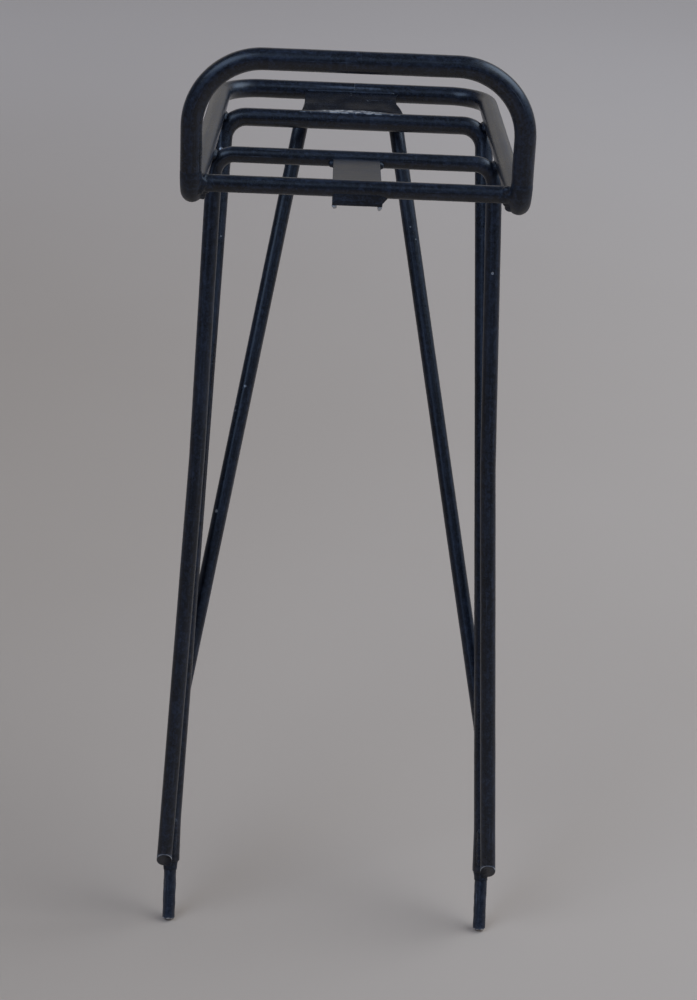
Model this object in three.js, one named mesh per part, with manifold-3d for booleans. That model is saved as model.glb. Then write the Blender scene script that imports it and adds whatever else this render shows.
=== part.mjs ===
// Welded steel luggage carrier for a bicycle: a bent loop with a raised hoop, two leg arches,
// two struts, two sheet plates, two pins, and the weld beads between them.
// Millimetres. X runs across the carrier, +Y away from the hoop, +Z up.
// The origin is on the upper side of the stay plate's flat floor, in the carrier's middle plane.

import * as THREE from 'three';
import { mergeVertices } from 'three/addons/utils/BufferGeometryUtils.js';
import Module from 'manifold-3d';

const wasm = await Module();
wasm.setup();

// Gap between pieces that touch
const fit = 0.3;

// Bar stock
const loopTube = 10;
const loopWall = 1.2;
const legTube = 9.5;
const legWall = 1.05;
const rodDiameter = 8;
const sheet = 1.5;

// Main loop. Heights are counted from the axis of its side rails, depths from its hoop.
const hoopWidth = 150;
const hoopHeight = 64.4;
const hoopCornerRadius = 32;
const footBendRadius = 12;
const backWidth = 143.6;
const platformDepth = 225;
const backCornerRadius = 21;

// Front crossbar, between the feet of the hoop
const frontBarBack = 4.4;
const frontBarHeight = 5.8;

// Gap between the shoulders of a leg arch and the side rails that they tuck under
const shoulderGap = 0.6;

// Rear leg arch: a tube that makes the second crossbar and both rear legs
const rearArchAhead = 52.5;
const rearArchDrop = 3.5;
const rearArchLean = 21.75;
const rearArchBendRadius = 12;
const rearFootWidth = 165;
const rearLegLength = 394;
const rearFootLength = 22;

// Front leg arch: a rod that makes the third crossbar and both front legs
const frontArchBack = 91.5;
const frontArchDrop = 3;
const frontArchBendRadius = 10;
const frontKneeShare = 0.41;
const frontKneeInset = 1.9;
const frontFootSpread = 2.9;
const frontFootOverhang = 3;
const frontFootCut = 48;
const kinkRadius = 120;

// Stay plate: a pressed gutter between the rear arch and the back bar
const stayPlateOffset = -2.2;
const stayPlateWidth = 50.6;
const stayPlateFlare = 2;
const stayPlateLip = 3;
const stayPlateFlat = 2;
const stayPlateDepth = 8.5;
const stayPlateSlope = 11.5;
const stayFloorLength = 17;
const stayPlateBend = 4;

// Struts, from the side edges of the stay plate's floor to the rear legs
const strutTopOffset = -2.95;
const strutTopSpan = 49.5;
const leftStrutRise = 88;
const rightStrutRise = 73;

// Lamp plate: a strip from the front arch under the front crossbar, with a turned-down lip
const lampPlateOffset = 0.8;
const lampPlateWidth = 23;
const lampPlateRise = 1.1;
const lampLipReach = 3;
const lampLipDrop = 2.4;
const lampProngWidth = 2.2;
const lampProngDrop = 1.9;
const lampPlateBend = 1.6;

// Pins
const pinReach = 30.8;
const pinInsertion = 18;
const pinChamfer = 1.2;

// Weld beads
const ringBead = 2.1;
const shoulderBead = 3.6;
const valleyBead = 1.9;
const valleySeat = 2.8;
const seamBead = 1.9;
const seamOverrun = 2;
const collarLength = 4.8;
const strutWeldLength = 24;
const footWeldLength = 20;

// Facets round a section, and degrees between stations along a bend
const tubeFacets = 16;
const boreFacets = 16;
const rodFacets = 16;
const beadFacets = 10;
const bendStep = 11.25;

const loopPaint = { color: 0x1b1d22, roughness: 0.35, metalness: 0.2 };
const rodPaint = { color: 0x1e2025, roughness: 0.4, metalness: 0.2 };
const platePaint = { color: 0x24262b, roughness: 0.4, metalness: 0.2 };
const pinPaint = { color: 0x28292d, roughness: 0.5, metalness: 0.4 };
const weldPaint = { color: 0x2c2f35, roughness: 0.5, metalness: 0.25 };

const sides = [
  { name: 'left', side: -1 },
  { name: 'right', side: 1 },
];

const point = (x, y, z) => new THREE.Vector3(x, y, z);
const radians = THREE.MathUtils.degToRad;

// ------------------------------------------------------------ routes and sweeps

const heading = (from, to) => to.at.clone().sub(from.at).normalize();

// A bar's centre line: straights joined by round bends, with stations only where it turns.
class BentRoute extends THREE.Curve {
  constructor(corners) {
    super();
    this.stations = [];
    const last = corners.length - 1;
    this.addStation(corners[0].at, heading(corners[0], corners[1]));
    for (let index = 1; index < last; index++) {
      this.addBend(corners[index - 1], corners[index], corners[index + 1]);
    }
    this.addStation(corners[last].at, heading(corners[last - 1], corners[last]));
  }

  addStation(position, tangent) {
    this.stations.push({ position: position.clone(), tangent: tangent.clone() });
  }

  addBend(before, corner, after) {
    const inward = heading(before, corner);
    const outward = heading(corner, after);
    const turn = inward.angleTo(outward);
    const axis = inward.clone().cross(outward).normalize();
    const spoke = inward.clone().cross(axis).multiplyScalar(corner.radius);
    const start = corner.at.clone().addScaledVector(inward, -corner.radius * Math.tan(turn / 2));
    const centre = start.clone().sub(spoke);
    const steps = Math.ceil(THREE.MathUtils.radToDeg(turn) / bendStep);
    for (let step = 0; step <= steps; step++) {
      const angle = (turn * step) / steps;
      const position = spoke.clone().applyAxisAngle(axis, angle).add(centre);
      this.addStation(position, inward.clone().applyAxisAngle(axis, angle));
    }
  }

  station(share) {
    return this.stations[Math.round(share * (this.stations.length - 1))];
  }

  getPoint(share, target = new THREE.Vector3()) {
    return target.copy(this.station(share).position);
  }

  getPointAt(share, target) {
    return this.getPoint(share, target);
  }

  getTangent(share, target = new THREE.Vector3()) {
    return target.copy(this.station(share).tangent);
  }

  getTangentAt(share, target) {
    return this.getTangent(share, target);
  }
}

const straight = (from, to) => new BentRoute([{ at: from }, { at: to }]);

function circle(radius, facets) {
  return Array.from({ length: facets }, (_, index) => {
    const angle = (2 * Math.PI * index) / facets;
    return new THREE.Vector2(radius * Math.cos(angle), radius * Math.sin(angle));
  });
}

function sweep(route, section) {
  const steps = route.stations.length - 1;
  return new THREE.ExtrudeGeometry(section, { steps, bevelEnabled: false, extrudePath: route });
}

function bar(route, diameter, facets = rodFacets) {
  return sweep(route, new THREE.Shape(circle(diameter / 2, facets)));
}

function tube(route, outside, inside) {
  const section = new THREE.Shape(circle(outside / 2, tubeFacets));
  section.holes.push(new THREE.Path(circle(inside / 2, boreFacets).reverse()));
  return sweep(route, section);
}

// A turned piece on an axis, its profile given as [radius, distance along the axis]
function turned(profile, start, axis) {
  const outline = profile.map(([radius, along]) => new THREE.Vector2(radius, along));
  const geometry = new THREE.LatheGeometry(outline, rodFacets);
  geometry.applyQuaternion(new THREE.Quaternion().setFromUnitVectors(point(0, 1, 0), axis));
  return geometry.translate(start.x, start.y, start.z);
}

// ------------------------------------------------------------ solids

function toSolid(geometry) {
  const bare = geometry.clone();
  bare.deleteAttribute('normal');
  bare.deleteAttribute('uv');
  const merged = mergeVertices(bare, 1e-4);
  const corners = merged.index.array;
  const triVerts = [];
  for (let index = 0; index < corners.length; index += 3) {
    const [a, b, c] = corners.slice(index, index + 3);
    if (a !== b && b !== c && c !== a) triVerts.push(a, b, c);
  }
  return new wasm.Manifold(new wasm.Mesh({
    numProp: 3,
    vertProperties: new Float32Array(merged.attributes.position.array),
    triVerts: new Uint32Array(triVerts),
  }));
}

function toGeometry(solid) {
  const { vertProperties, triVerts } = solid.getMesh();
  const geometry = new THREE.BufferGeometry();
  geometry.setAttribute('position', new THREE.BufferAttribute(new Float32Array(vertProperties), 3));
  geometry.setIndex(new THREE.BufferAttribute(new Uint32Array(triVerts), 1));
  return geometry;
}

// What a bar takes out of its neighbours: itself with the fit round it
const clearanceOf = (route, diameter) => toSolid(bar(route, diameter + 2 * fit));

// What a plate takes out of its neighbours: itself slid by the fit toward every corner
function clearanceOfPlate(solid) {
  let sum = solid;
  for (const x of [-fit, fit]) {
    for (const y of [-fit, fit]) {
      for (const z of [-fit, fit]) sum = sum.add(solid.translate([x, y, z]));
    }
  }
  return sum;
}

// The main piece of a blank once its neighbours are cut away
function trimmed(blank, neighbours) {
  const cut = neighbours.reduce((solid, neighbour) => solid.subtract(neighbour), toSolid(blank));
  const pieces = cut.decompose();
  return toGeometry(pieces.reduce((main, piece) => (piece.volume() > main.volume() ? piece : main)));
}

// ------------------------------------------------------------ centre lines

const halfHoop = hoopWidth / 2;
const halfBack = backWidth / 2;
const rearArchBack = platformDepth - rearArchAhead;
const legBore = legTube - 2 * legWall;
const pinDiameter = legBore - 2 * fit;

const loopRoute = new BentRoute([
  { at: point(fit / 2, platformDepth, 0) },
  { at: point(halfBack, platformDepth, 0), radius: backCornerRadius },
  { at: point(halfHoop, 0, 0), radius: footBendRadius },
  { at: point(halfHoop, 0, hoopHeight), radius: hoopCornerRadius },
  { at: point(-halfHoop, 0, hoopHeight), radius: hoopCornerRadius },
  { at: point(-halfHoop, 0, 0), radius: footBendRadius },
  { at: point(-halfBack, platformDepth, 0), radius: backCornerRadius },
  { at: point(-fit / 2, platformDepth, 0) },
]);

function onRail(side, back) {
  return point(side * THREE.MathUtils.lerp(halfHoop, halfBack, back / platformDepth), back, 0);
}

// How far inside a rail's axis a leg runs, so that the bend at its top just clears the rail
function shoulderInset({ drop, lean, bendRadius, diameter }) {
  const reach = (loopTube + diameter) / 2 + shoulderGap;
  let inset = 0;
  for (let degree = 0; degree <= 90; degree++) {
    const angle = radians(degree);
    const below = drop + bendRadius * Math.cos(lean) * (1 - Math.cos(angle));
    const beside = Math.sqrt(Math.max(reach ** 2 - below ** 2, 0));
    inset = Math.max(inset, beside - bendRadius * (1 - Math.sin(angle)));
  }
  return inset;
}

const rearArchTop = point(0, rearArchBack, -rearArchDrop);
const lean = radians(rearArchLean);
const rearShoulder = {
  back: rearArchBack,
  drop: rearArchDrop,
  lean,
  bendRadius: rearArchBendRadius,
  diameter: legTube,
};
const rearArchHalf = onRail(1, rearArchBack).x - shoulderInset(rearShoulder);
const downLeg = point(0, -Math.sin(lean), -Math.cos(lean));
const aheadOfLeg = point(0, -Math.cos(lean), Math.sin(lean));

// A place on a rear leg's axis, at a distance down from the crossbar
function onRearLeg(side, along) {
  const share = Math.min(along / (rearLegLength - rearFootLength), 1);
  const halfWidth = THREE.MathUtils.lerp(rearArchHalf, rearFootWidth / 2, share);
  return rearArchTop.clone().addScaledVector(downLeg, along).setX(side * halfWidth);
}

function rearLeg(side) {
  return [
    { at: onRearLeg(side, rearLegLength) },
    { at: onRearLeg(side, rearLegLength - rearFootLength), radius: kinkRadius },
    { at: onRearLeg(side, 0), radius: rearArchBendRadius },
  ];
}

const rearArchRoute = new BentRoute([...rearLeg(1), ...rearLeg(-1).reverse()]);

// A front leg meets the front of a rear leg at its end, and runs on past it
const legPitch = (legTube + rodDiameter) / 2 + fit;
const frontFootAhead = Math.sqrt(legPitch ** 2 - frontFootSpread ** 2);
const frontArchTop = point(0, frontArchBack, -frontArchDrop);
const frontReach = legMeeting(0).sub(frontArchTop);
const frontShoulder = {
  back: frontArchBack,
  drop: frontArchDrop,
  lean: Math.atan2(-frontReach.y, -frontReach.z),
  bendRadius: frontArchBendRadius,
  diameter: rodDiameter,
};
const frontArchHalf = onRail(1, frontArchBack).x - shoulderInset(frontShoulder);

function legMeeting(side) {
  const place = onRearLeg(side, rearLegLength).addScaledVector(aheadOfLeg, frontFootAhead);
  return place.add(point(side * frontFootSpread, 0, 0));
}

function frontLeg(side) {
  const top = frontArchTop.clone().setX(side * frontArchHalf);
  const meeting = legMeeting(side);
  const knee = top.clone().lerp(meeting, frontKneeShare).sub(point(side * frontKneeInset, 0, 0));
  const foot = meeting.clone().addScaledVector(heading({ at: knee }, { at: meeting }), frontFootOverhang);
  return [
    { at: foot },
    { at: knee, radius: kinkRadius },
    { at: top, radius: frontArchBendRadius },
  ];
}

const frontArchRoute = new BentRoute([...frontLeg(1), ...frontLeg(-1).reverse()]);

const railAtFrontBar = Math.min(halfHoop, onRail(1, frontBarBack + rodDiameter / 2).x);
const frontBarEnd = railAtFrontBar - loopTube / 2 - fit;
const acrossX = (half, back, height) => straight(point(-half, back, height), point(half, back, height));
const frontBarRoute = acrossX(frontBarEnd, frontBarBack, frontBarHeight);

// The stay plate's side view, from its lip over the rear arch to the back bar
const stayLipHeight = legTube / 2 - rearArchDrop + fit + sheet / 2;
const stayFloorHeight = stayLipHeight - stayPlateDepth;
const stayFloorUnderside = stayFloorHeight - sheet / 2;
const stayFloorTop = stayFloorHeight + sheet / 2;
const stayFloorFront = rearArchBack + stayPlateFlat + stayPlateSlope;
const stayFloorMiddle = stayFloorFront + stayFloorLength / 2;

const stayPlateRoute = [
  { at: point(rearArchBack - stayPlateLip, stayLipHeight, 0) },
  { at: point(rearArchBack + stayPlateFlat, stayLipHeight, 0), radius: stayPlateBend },
  { at: point(stayFloorFront, stayFloorHeight, 0), radius: stayPlateBend },
  { at: point(stayFloorFront + stayFloorLength, stayFloorHeight, 0), radius: stayPlateBend },
  { at: point(platformDepth - loopTube / 2 + fit, sheet, 0) },
];

const strutReach = (side) => rearLegLength - (side < 0 ? leftStrutRise : rightStrutRise);

function strutTop(side) {
  return point(strutTopOffset + side * strutTopSpan / 2, stayFloorMiddle, stayFloorUnderside - fit);
}

function strutFoot(side) {
  return onRearLeg(side, strutReach(side)).addScaledVector(aheadOfLeg, -legPitch);
}

// The strut's axis runs past its top, so that its end can be cut level
function strutRoute(side) {
  const overrun = heading({ at: strutFoot(side) }, { at: strutTop(side) }).multiplyScalar(rodDiameter);
  return straight(strutFoot(side), strutTop(side).add(overrun));
}

// The lamp plate's side view, from its lip to the front arch
const lampBackHeight = lampPlateRise - frontArchDrop - sheet / 2;
const lampFrontHeight = frontBarHeight - rodDiameter / 2 - fit - sheet / 2;
const lampLip = point(frontBarBack - lampLipReach, lampFrontHeight - lampLipDrop, 0);

const lampPlateRoute = [
  { at: lampLip },
  { at: point(lampLip.x, lampFrontHeight, 0), radius: lampPlateBend },
  { at: point(frontArchBack - rodDiameter / 2, lampBackHeight, 0) },
];

// ------------------------------------------------------------ bars and pins

const loopClearance = clearanceOf(loopRoute, loopTube);
const rearArchClearance = clearanceOf(rearArchRoute, legTube);
const frontArchClearance = clearanceOf(frontArchRoute, rodDiameter);
const frontBarClearance = clearanceOf(acrossX(frontBarEnd + fit, frontBarBack, frontBarHeight), rodDiameter);
const backBarClearance = clearanceOf(acrossX(halfBack, platformDepth, 0), loopTube);

// A block whose top face passes level through a place, tipped about X
function blockBelow(place, tip) {
  const width = rearFootWidth + 4 * rodDiameter + 2 * frontFootSpread;
  const block = new THREE.BoxGeometry(width, rodDiameter * 3, rodDiameter * 3);
  block.translate(0, 0, -rodDiameter * 1.5);
  return toSolid(block.rotateX(tip).translate(0, place.y, place.z));
}

// The front arch, with both feet cut off on a slant that faces forward and down
function frontLegArch() {
  const [foot, knee] = frontLeg(1);
  const legAngle = Math.atan2(knee.at.y - foot.at.y, knee.at.z - foot.at.z);
  const slant = radians(frontFootCut);
  const upLeg = heading({ at: foot.at.clone().setX(0) }, { at: knee.at.clone().setX(0) });
  const place = foot.at.clone().addScaledVector(upLeg, (rodDiameter / 2) * Math.tan(slant));
  return toGeometry(toSolid(bar(frontArchRoute, rodDiameter)).subtract(blockBelow(place, -legAngle - slant)));
}

// A strut, cut level just under the stay plate
function strut(side) {
  const above = new THREE.BoxGeometry(3 * rodDiameter, 3 * rodDiameter, 3 * rodDiameter);
  const top = strutTop(side);
  above.translate(top.x, top.y, top.z + 1.5 * rodDiameter);
  return toGeometry(toSolid(bar(strutRoute(side), rodDiameter)).subtract(toSolid(above)));
}

function pin(side) {
  const radius = pinDiameter / 2;
  return turned([
    [0, -pinInsertion],
    [radius, -pinInsertion],
    [radius, pinReach - pinChamfer],
    [radius - pinChamfer, pinReach],
    [0, pinReach],
  ], onRearLeg(side, rearLegLength), downLeg);
}

// ------------------------------------------------------------ sheet plates

// A bent strip that lies across X, its side view drawn as depth and height
function strip(corners, width, offset) {
  const route = new BentRoute(corners);
  const above = [];
  const below = [];
  for (const { position, tangent } of route.stations) {
    const half = new THREE.Vector2(-tangent.y, tangent.x).multiplyScalar(sheet / 2);
    const centre = new THREE.Vector2(position.x, position.y);
    above.push(centre.clone().add(half));
    below.unshift(centre.clone().sub(half));
  }
  const outline = new THREE.Shape([...below.reverse(), ...above.reverse()]);
  const geometry = new THREE.ExtrudeGeometry(outline, { depth: width, bevelEnabled: false });
  const turn = new THREE.Matrix4().makeBasis(point(0, 1, 0), point(0, 0, 1), point(1, 0, 0));
  return geometry.applyMatrix4(turn).translate(offset - width / 2, 0, 0);
}

// The stay plate's plan: straight sides that flare out to the lip
function stayPlatePlan() {
  const half = stayPlateWidth / 2;
  const lip = rearArchBack - stayPlateLip;
  const plan = new THREE.Shape();
  plan.moveTo(-half - stayPlateFlare, lip);
  plan.lineTo(half + stayPlateFlare, lip);
  plan.quadraticCurveTo(half, rearArchBack, half, stayFloorFront);
  plan.lineTo(half, platformDepth);
  plan.lineTo(-half, platformDepth);
  plan.lineTo(-half, stayFloorFront);
  plan.quadraticCurveTo(-half, rearArchBack, -half - stayPlateFlare, lip);
  const depth = platformDepth;
  const block = new THREE.ExtrudeGeometry(plan, { depth, bevelEnabled: false, curveSegments: 6 });
  return toSolid(block.translate(stayPlateOffset, 0, -depth / 2));
}

function stayPlateBlank() {
  const blank = strip(stayPlateRoute, stayPlateWidth + 2 * stayPlateFlare, stayPlateOffset);
  return toSolid(blank).intersect(stayPlatePlan());
}

const lampPlateBlank = () => toSolid(strip(lampPlateRoute, lampPlateWidth, lampPlateOffset));

// The lamp plate, with a short prong at each lower corner of its lip
function lampPlate() {
  const halfSpan = (lampPlateWidth - lampProngWidth) / 2;
  const prongs = sides.map(({ side }) => {
    const prong = new THREE.BoxGeometry(lampProngWidth, sheet, 2 * lampProngDrop);
    return toSolid(prong.translate(lampPlateOffset + side * halfSpan, lampLip.x, lampLip.y));
  });
  const shaped = prongs.reduce((solid, prong) => solid.add(prong), lampPlateBlank());
  return toGeometry(shaped.subtract(frontArchClearance));
}

const stayPlateClearance = clearanceOfPlate(stayPlateBlank());
const lampPlateClearance = clearanceOfPlate(lampPlateBlank());

// ------------------------------------------------------------ welds

function ring(radius, place) {
  const geometry = new THREE.TorusGeometry(radius, ringBead, beadFacets, 2 * beadFacets);
  return geometry.translate(place.x, place.y, place.z);
}

function frontCrossbarWeld(side) {
  const geometry = ring(rodDiameter / 2 + fit, point(0, 0, 0)).rotateY(Math.PI / 2);
  geometry.translate(side * frontBarEnd, frontBarBack, frontBarHeight);
  return trimmed(geometry, [loopClearance, frontBarClearance]);
}

// The bead round the place where an arch's shoulder meets a side rail
function shoulderWeld(side, half, { back, drop, bendRadius, diameter }, clearance) {
  const rail = onRail(side, back);
  const bendCentre = point(side * (half - bendRadius), back, -drop - bendRadius);
  const outward = rail.clone().sub(bendCentre).normalize();
  const seat = rail.addScaledVector(outward, -(loopTube + fit) / 2);
  const bead = new THREE.SphereGeometry(1, 2 * beadFacets, beadFacets);
  bead.scale(shoulderBead, diameter / 2 + shoulderBead / 2, shoulderBead);
  bead.translate(seat.x, seat.y, seat.z);
  return trimmed(bead, [loopClearance, clearance]);
}

// A bead in the valley between two bars that lie side by side, on the carrier's inner side
function valleyWeld(inward, from, to, clearances) {
  const seat = inward.clone().multiplyScalar(valleySeat);
  const route = straight(from.add(seat), to.add(seat));
  return trimmed(bar(route, 2 * valleyBead, beadFacets), clearances);
}

function strutFootWeld(side) {
  const beside = (along) => onRearLeg(side, along).addScaledVector(aheadOfLeg, -legPitch / 2);
  const reach = strutReach(side);
  const clearances = [rearArchClearance, clearanceOf(strutRoute(side), rodDiameter)];
  return valleyWeld(point(-side, 0, 0), beside(reach - strutWeldLength), beside(reach), clearances);
}

function footWeld(side) {
  const [foot, knee] = frontLeg(side);
  const between = (rise) => {
    const onFrontLeg = foot.at.clone().addScaledVector(heading(foot, knee), frontFootOverhang + rise);
    return onFrontLeg.lerp(onRearLeg(side, rearLegLength - rise), 0.5);
  };
  const start = between(rodDiameter / 2);
  const end = between(rodDiameter / 2 + footWeldLength);
  const acrossBars = legMeeting(side).sub(onRearLeg(side, rearLegLength));
  const inward = acrossBars.cross(downLeg).normalize().multiplyScalar(-side);
  return valleyWeld(inward, start, end, [rearArchClearance, frontArchClearance]);
}

function strutTopWeld(side) {
  const geometry = ring(rodDiameter / 2 + fit, strutTop(side));
  return trimmed(geometry, [stayPlateClearance, clearanceOf(strutRoute(side), rodDiameter)]);
}

// A straight bead across X at a depth and height
function seamWeld(width, offset, back, height, clearances) {
  const bead = bar(acrossX(width / 2, back, height), 2 * seamBead, beadFacets);
  return trimmed(bead.translate(offset, 0, 0), clearances);
}

// The sloping bead round a pin where it leaves the leg
function pinWeld(side) {
  const bore = legBore / 2;
  return turned([
    [bore, fit],
    [legTube / 2 - fit, fit],
    [bore + fit, fit + collarLength],
    [bore, fit + collarLength],
    [bore, fit],
  ], onRearLeg(side, rearLegLength), downLeg);
}

// ------------------------------------------------------------ assembly

const carrier = new THREE.Group();
carrier.position.set(0, -stayFloorMiddle, -stayFloorTop);

function addPiece(name, geometry, paint) {
  const piece = new THREE.Mesh(geometry, new THREE.MeshStandardMaterial(paint));
  piece.name = name;
  carrier.add(piece);
}

addPiece('main_loop', tube(loopRoute, loopTube, loopTube - 2 * loopWall), loopPaint);
addPiece('rear_leg_arch', tube(rearArchRoute, legTube, legBore), loopPaint);
addPiece('front_leg_arch', frontLegArch(), rodPaint);
addPiece('front_crossbar', bar(frontBarRoute, rodDiameter), rodPaint);
addPiece('stay_plate', toGeometry(stayPlateBlank().subtract(backBarClearance)), platePaint);
addPiece('lamp_plate', lampPlate(), platePaint);

for (const { name, side } of sides) {
  addPiece(`${name}_strut`, strut(side), rodPaint);
  addPiece(`${name}_pin`, pin(side), pinPaint);
  addPiece(`${name}_front_crossbar_weld`, frontCrossbarWeld(side), weldPaint);
  const frontBead = shoulderWeld(side, frontArchHalf, frontShoulder, frontArchClearance);
  const rearBead = shoulderWeld(side, rearArchHalf, rearShoulder, rearArchClearance);
  addPiece(`${name}_front_shoulder_weld`, frontBead, weldPaint);
  addPiece(`${name}_rear_shoulder_weld`, rearBead, weldPaint);
  addPiece(`${name}_strut_top_weld`, strutTopWeld(side), weldPaint);
  addPiece(`${name}_strut_foot_weld`, strutFootWeld(side), weldPaint);
  addPiece(`${name}_foot_weld`, footWeld(side), weldPaint);
  addPiece(`${name}_pin_weld`, pinWeld(side), weldPaint);
}

addPiece('stay_plate_front_weld', seamWeld(
  stayPlateWidth,
  stayPlateOffset,
  rearArchBack + legTube / 2 + seamBead,
  -rearArchDrop - seamBead / 2,
  [rearArchClearance, stayPlateClearance],
), weldPaint);

addPiece('stay_plate_back_weld', seamWeld(
  stayPlateWidth,
  stayPlateOffset,
  platformDepth - loopTube / 2,
  -seamBead / 2,
  [backBarClearance, stayPlateClearance],
), weldPaint);

addPiece('lamp_plate_back_weld', seamWeld(
  lampPlateWidth + seamOverrun,
  lampPlateOffset,
  frontArchBack - rodDiameter / 2,
  lampBackHeight - sheet / 2 - seamBead / 2,
  [frontArchClearance, lampPlateClearance],
), weldPaint);

addPiece('lamp_plate_front_weld', seamWeld(
  lampPlateWidth + 2 * seamOverrun,
  lampPlateOffset,
  frontBarBack + rodDiameter / 4,
  lampFrontHeight + sheet / 2,
  [frontBarClearance, lampPlateClearance],
), weldPaint);

export default carrier;
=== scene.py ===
import math

import bmesh
import bpy
from mathutils import Matrix, Vector, noise


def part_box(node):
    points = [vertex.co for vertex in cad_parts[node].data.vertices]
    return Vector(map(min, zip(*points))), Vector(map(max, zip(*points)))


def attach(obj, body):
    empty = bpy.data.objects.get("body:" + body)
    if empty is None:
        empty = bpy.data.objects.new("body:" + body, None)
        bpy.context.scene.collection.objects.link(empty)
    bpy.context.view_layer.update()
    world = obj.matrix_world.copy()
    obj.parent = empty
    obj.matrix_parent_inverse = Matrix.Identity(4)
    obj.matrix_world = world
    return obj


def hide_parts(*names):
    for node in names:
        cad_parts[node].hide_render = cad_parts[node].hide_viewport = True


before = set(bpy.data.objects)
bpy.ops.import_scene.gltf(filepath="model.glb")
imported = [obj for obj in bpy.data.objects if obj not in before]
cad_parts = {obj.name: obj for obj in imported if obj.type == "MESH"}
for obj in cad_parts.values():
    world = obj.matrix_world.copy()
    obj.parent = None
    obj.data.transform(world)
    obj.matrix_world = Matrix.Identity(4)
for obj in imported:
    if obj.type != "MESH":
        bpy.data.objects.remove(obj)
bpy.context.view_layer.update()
print("frame loaded:", len(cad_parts), "nodes")

mm = 0.001

# the platform, from the main loop's own box; everything below is in millimetres

stock = {"loopTube": 10, "legTube": 9.5, "rod": 8, "sheet": 1.5, "gap": 0.3, "hairline": 0.05}

loopLow, loopHigh = [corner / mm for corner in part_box("main_loop")]
loopRadius = stock["loopTube"] / 2
legRadius = stock["legTube"] / 2
rodRadius = stock["rod"] / 2
railHeight = loopLow.z + loopRadius
hoopDepth = loopLow.y + loopRadius
halfHoop = (loopHigh.x - loopLow.x) / 2 - loopRadius
hoopHeight = loopHigh.z - loopRadius - railHeight
platformDepth = loopHigh.y - loopRadius - hoopDepth
sides = {"left": -1, "right": 1}


def place(across, back, height):  # depth counts from the hoop, height from the rails' axis
    return Vector((across, hoopDepth + back, railHeight + height))


def lerp(low, high, share):
    return low + (high - low) * share


def heading(start, end):
    return (end - start).normalized()


def clamp(value, low=0.0, high=1.0):
    return max(low, min(high, value))


def fade(value, low, high):  # smooth 0 to 1 as value goes from low to high
    share = clamp((value - low) / (high - low))
    return share * share * (3 - 2 * share)


def bendRoute(corners, turnStep=3.0):
    # corners are (point, bend radius); straights are joined by round bends
    route = [corners[0][0]]
    for index in range(1, len(corners) - 1):
        corner, radius = corners[index]
        inward = heading(corners[index - 1][0], corner)
        outward = heading(corner, corners[index + 1][0])
        turn = inward.angle(outward)
        axis = inward.cross(outward).normalized()
        spoke = inward.cross(axis) * radius
        centre = corner - inward * (radius * math.tan(turn / 2)) - spoke
        steps = max(2, math.ceil(math.degrees(turn) / turnStep))
        for step in range(steps + 1):
            route.append(centre + Matrix.Rotation(turn * step / steps, 3, axis) @ spoke)
    route.append(corners[-1][0])
    return route


def spaced(route, step):  # adds stations on the straights
    result = [route[0]]
    for start, end in zip(route, route[1:]):
        pieces = max(1, round((end - start).length / step))
        result += [start.lerp(end, piece / pieces) for piece in range(1, pieces + 1)]
    return result


def withEnds(route, rounding):  # adds the close stations that rounded ends need
    start, end = heading(route[0], route[1]), heading(route[-1], route[-2])
    shares = (0.05, 0.18, 0.4, 0.7, 1.0)
    head = [route[0]] + [route[0] + start * (rounding * share) for share in shares]
    tail = [route[-1] + end * (rounding * share) for share in reversed(shares)] + [route[-1]]
    return head + route[1:-1] + tail


class Shape:  # points and faces in millimetres, with the surface's own coordinates for its finish
    def __init__(self):
        self.points = []
        self.wraps = []
        self.faces = []

    def ring(self, points, wraps=None):
        first = len(self.points)
        self.points += points
        self.wraps += wraps or points
        return list(range(first, len(self.points)))

    def bridge(self, ringA, ringB):
        for index in range(len(ringA)):
            after = (index + 1) % len(ringA)
            self.faces.append((ringA[index], ringA[after], ringB[after], ringB[index]))

    def strip(self, rowA, rowB):
        for index in range(len(rowA) - 1):
            self.faces.append((rowA[index], rowA[index + 1], rowB[index + 1], rowB[index]))


def carried(route, closed=False):  # a tangent and two side vectors for each station, without twist
    count = len(route)
    result = []
    side = None
    for index in range(count):
        before = route[index - 1] if index or closed else route[0]
        after = route[(index + 1) % count] if index < count - 1 or closed else route[-1]
        tangent = heading(before, after)
        if side is None:
            guide = Vector((0, 0, 1)) if abs(tangent.z) < 0.8 else Vector((0, 1, 0))
            side = tangent.cross(guide)
        side = (side - tangent * side.dot(tangent)).normalized()
        result.append((tangent, side, tangent.cross(side)))
    return result


def sweep(shape, route, radiusAt, facets=40, closed=False):
    # radiusAt takes the distance along, the whole length and the angle round the bar
    along = [0.0]
    for start, end in zip(route, route[1:]):
        along.append(along[-1] + (end - start).length)
    rings = []
    for point, (tangent, side, up), distance in zip(route, carried(route, closed), along):
        points, wraps = [], []
        for index in range(facets):
            angle = 2 * math.pi * index / facets
            radius = radiusAt(distance, along[-1], angle)
            across = side * math.cos(angle) + up * math.sin(angle)
            points.append(point + across * radius)
            wraps.append(Vector((distance, radius * math.cos(angle), radius * math.sin(angle))))
        rings.append(shape.ring(points, wraps))
    for ringA, ringB in zip(rings, rings[1:]):
        shape.bridge(ringA, ringB)
    if closed:
        shape.bridge(rings[-1], rings[0])
    else:
        shape.faces.append(tuple(rings[0]))
        shape.faces.append(tuple(reversed(rings[-1])))


def barSurface(radius, seed, rounding=0.5, wave=0.05):
    # a drawn bar: rounded ends and the slow waviness that bending leaves
    def radiusAt(distance, length, angle):
        spot = Vector((distance / 20 + seed, 0.8 * math.cos(angle), 0.8 * math.sin(angle)))
        near = min(distance, length - distance)
        share = clamp(1 - near / rounding)
        drop = rounding * (1 - math.sqrt(max(0.0, 1 - share * share)))
        return radius - drop + wave * noise.noise(spot) - wave / 2

    return radiusAt


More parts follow.
